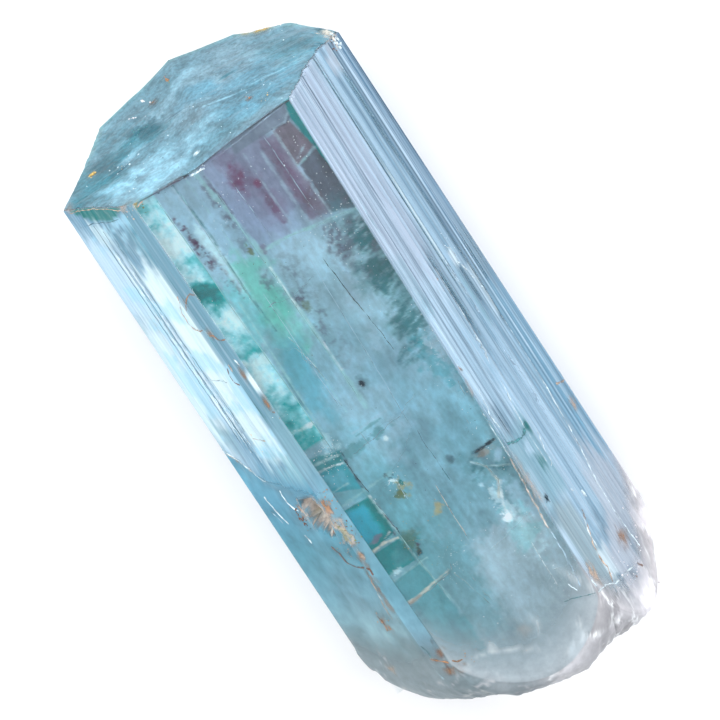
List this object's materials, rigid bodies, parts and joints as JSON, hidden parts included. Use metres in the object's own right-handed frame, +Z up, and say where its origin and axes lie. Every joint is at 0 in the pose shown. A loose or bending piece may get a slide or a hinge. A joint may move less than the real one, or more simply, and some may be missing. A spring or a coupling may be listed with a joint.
{
  "type": "aquamarine crystal",
  "caption": "Natural aquamarine crystal: a striated, see-through hexagonal beryl prism lying on its flat back, with a nearly flat grown top and a broken, rounded foot.",
  "frame": {"origin": "the middle of the crystal's footprint, on the surface it lies on", "axes": "+X along the prism towards the grown top, +Y across to the left edge seen from above with the top ahead, +Z up from the back face to the front face"},
  "size_m": [0.0559, 0.0254, 0.0178],
  "materials": {
    "beryl": "glassy, see-through pale blue-green beryl with growth striations, cloudy and rust-stained places"
  },
  "bodies": {
    "root": {"crystal": "beryl"}
  },
  "joints": []
}
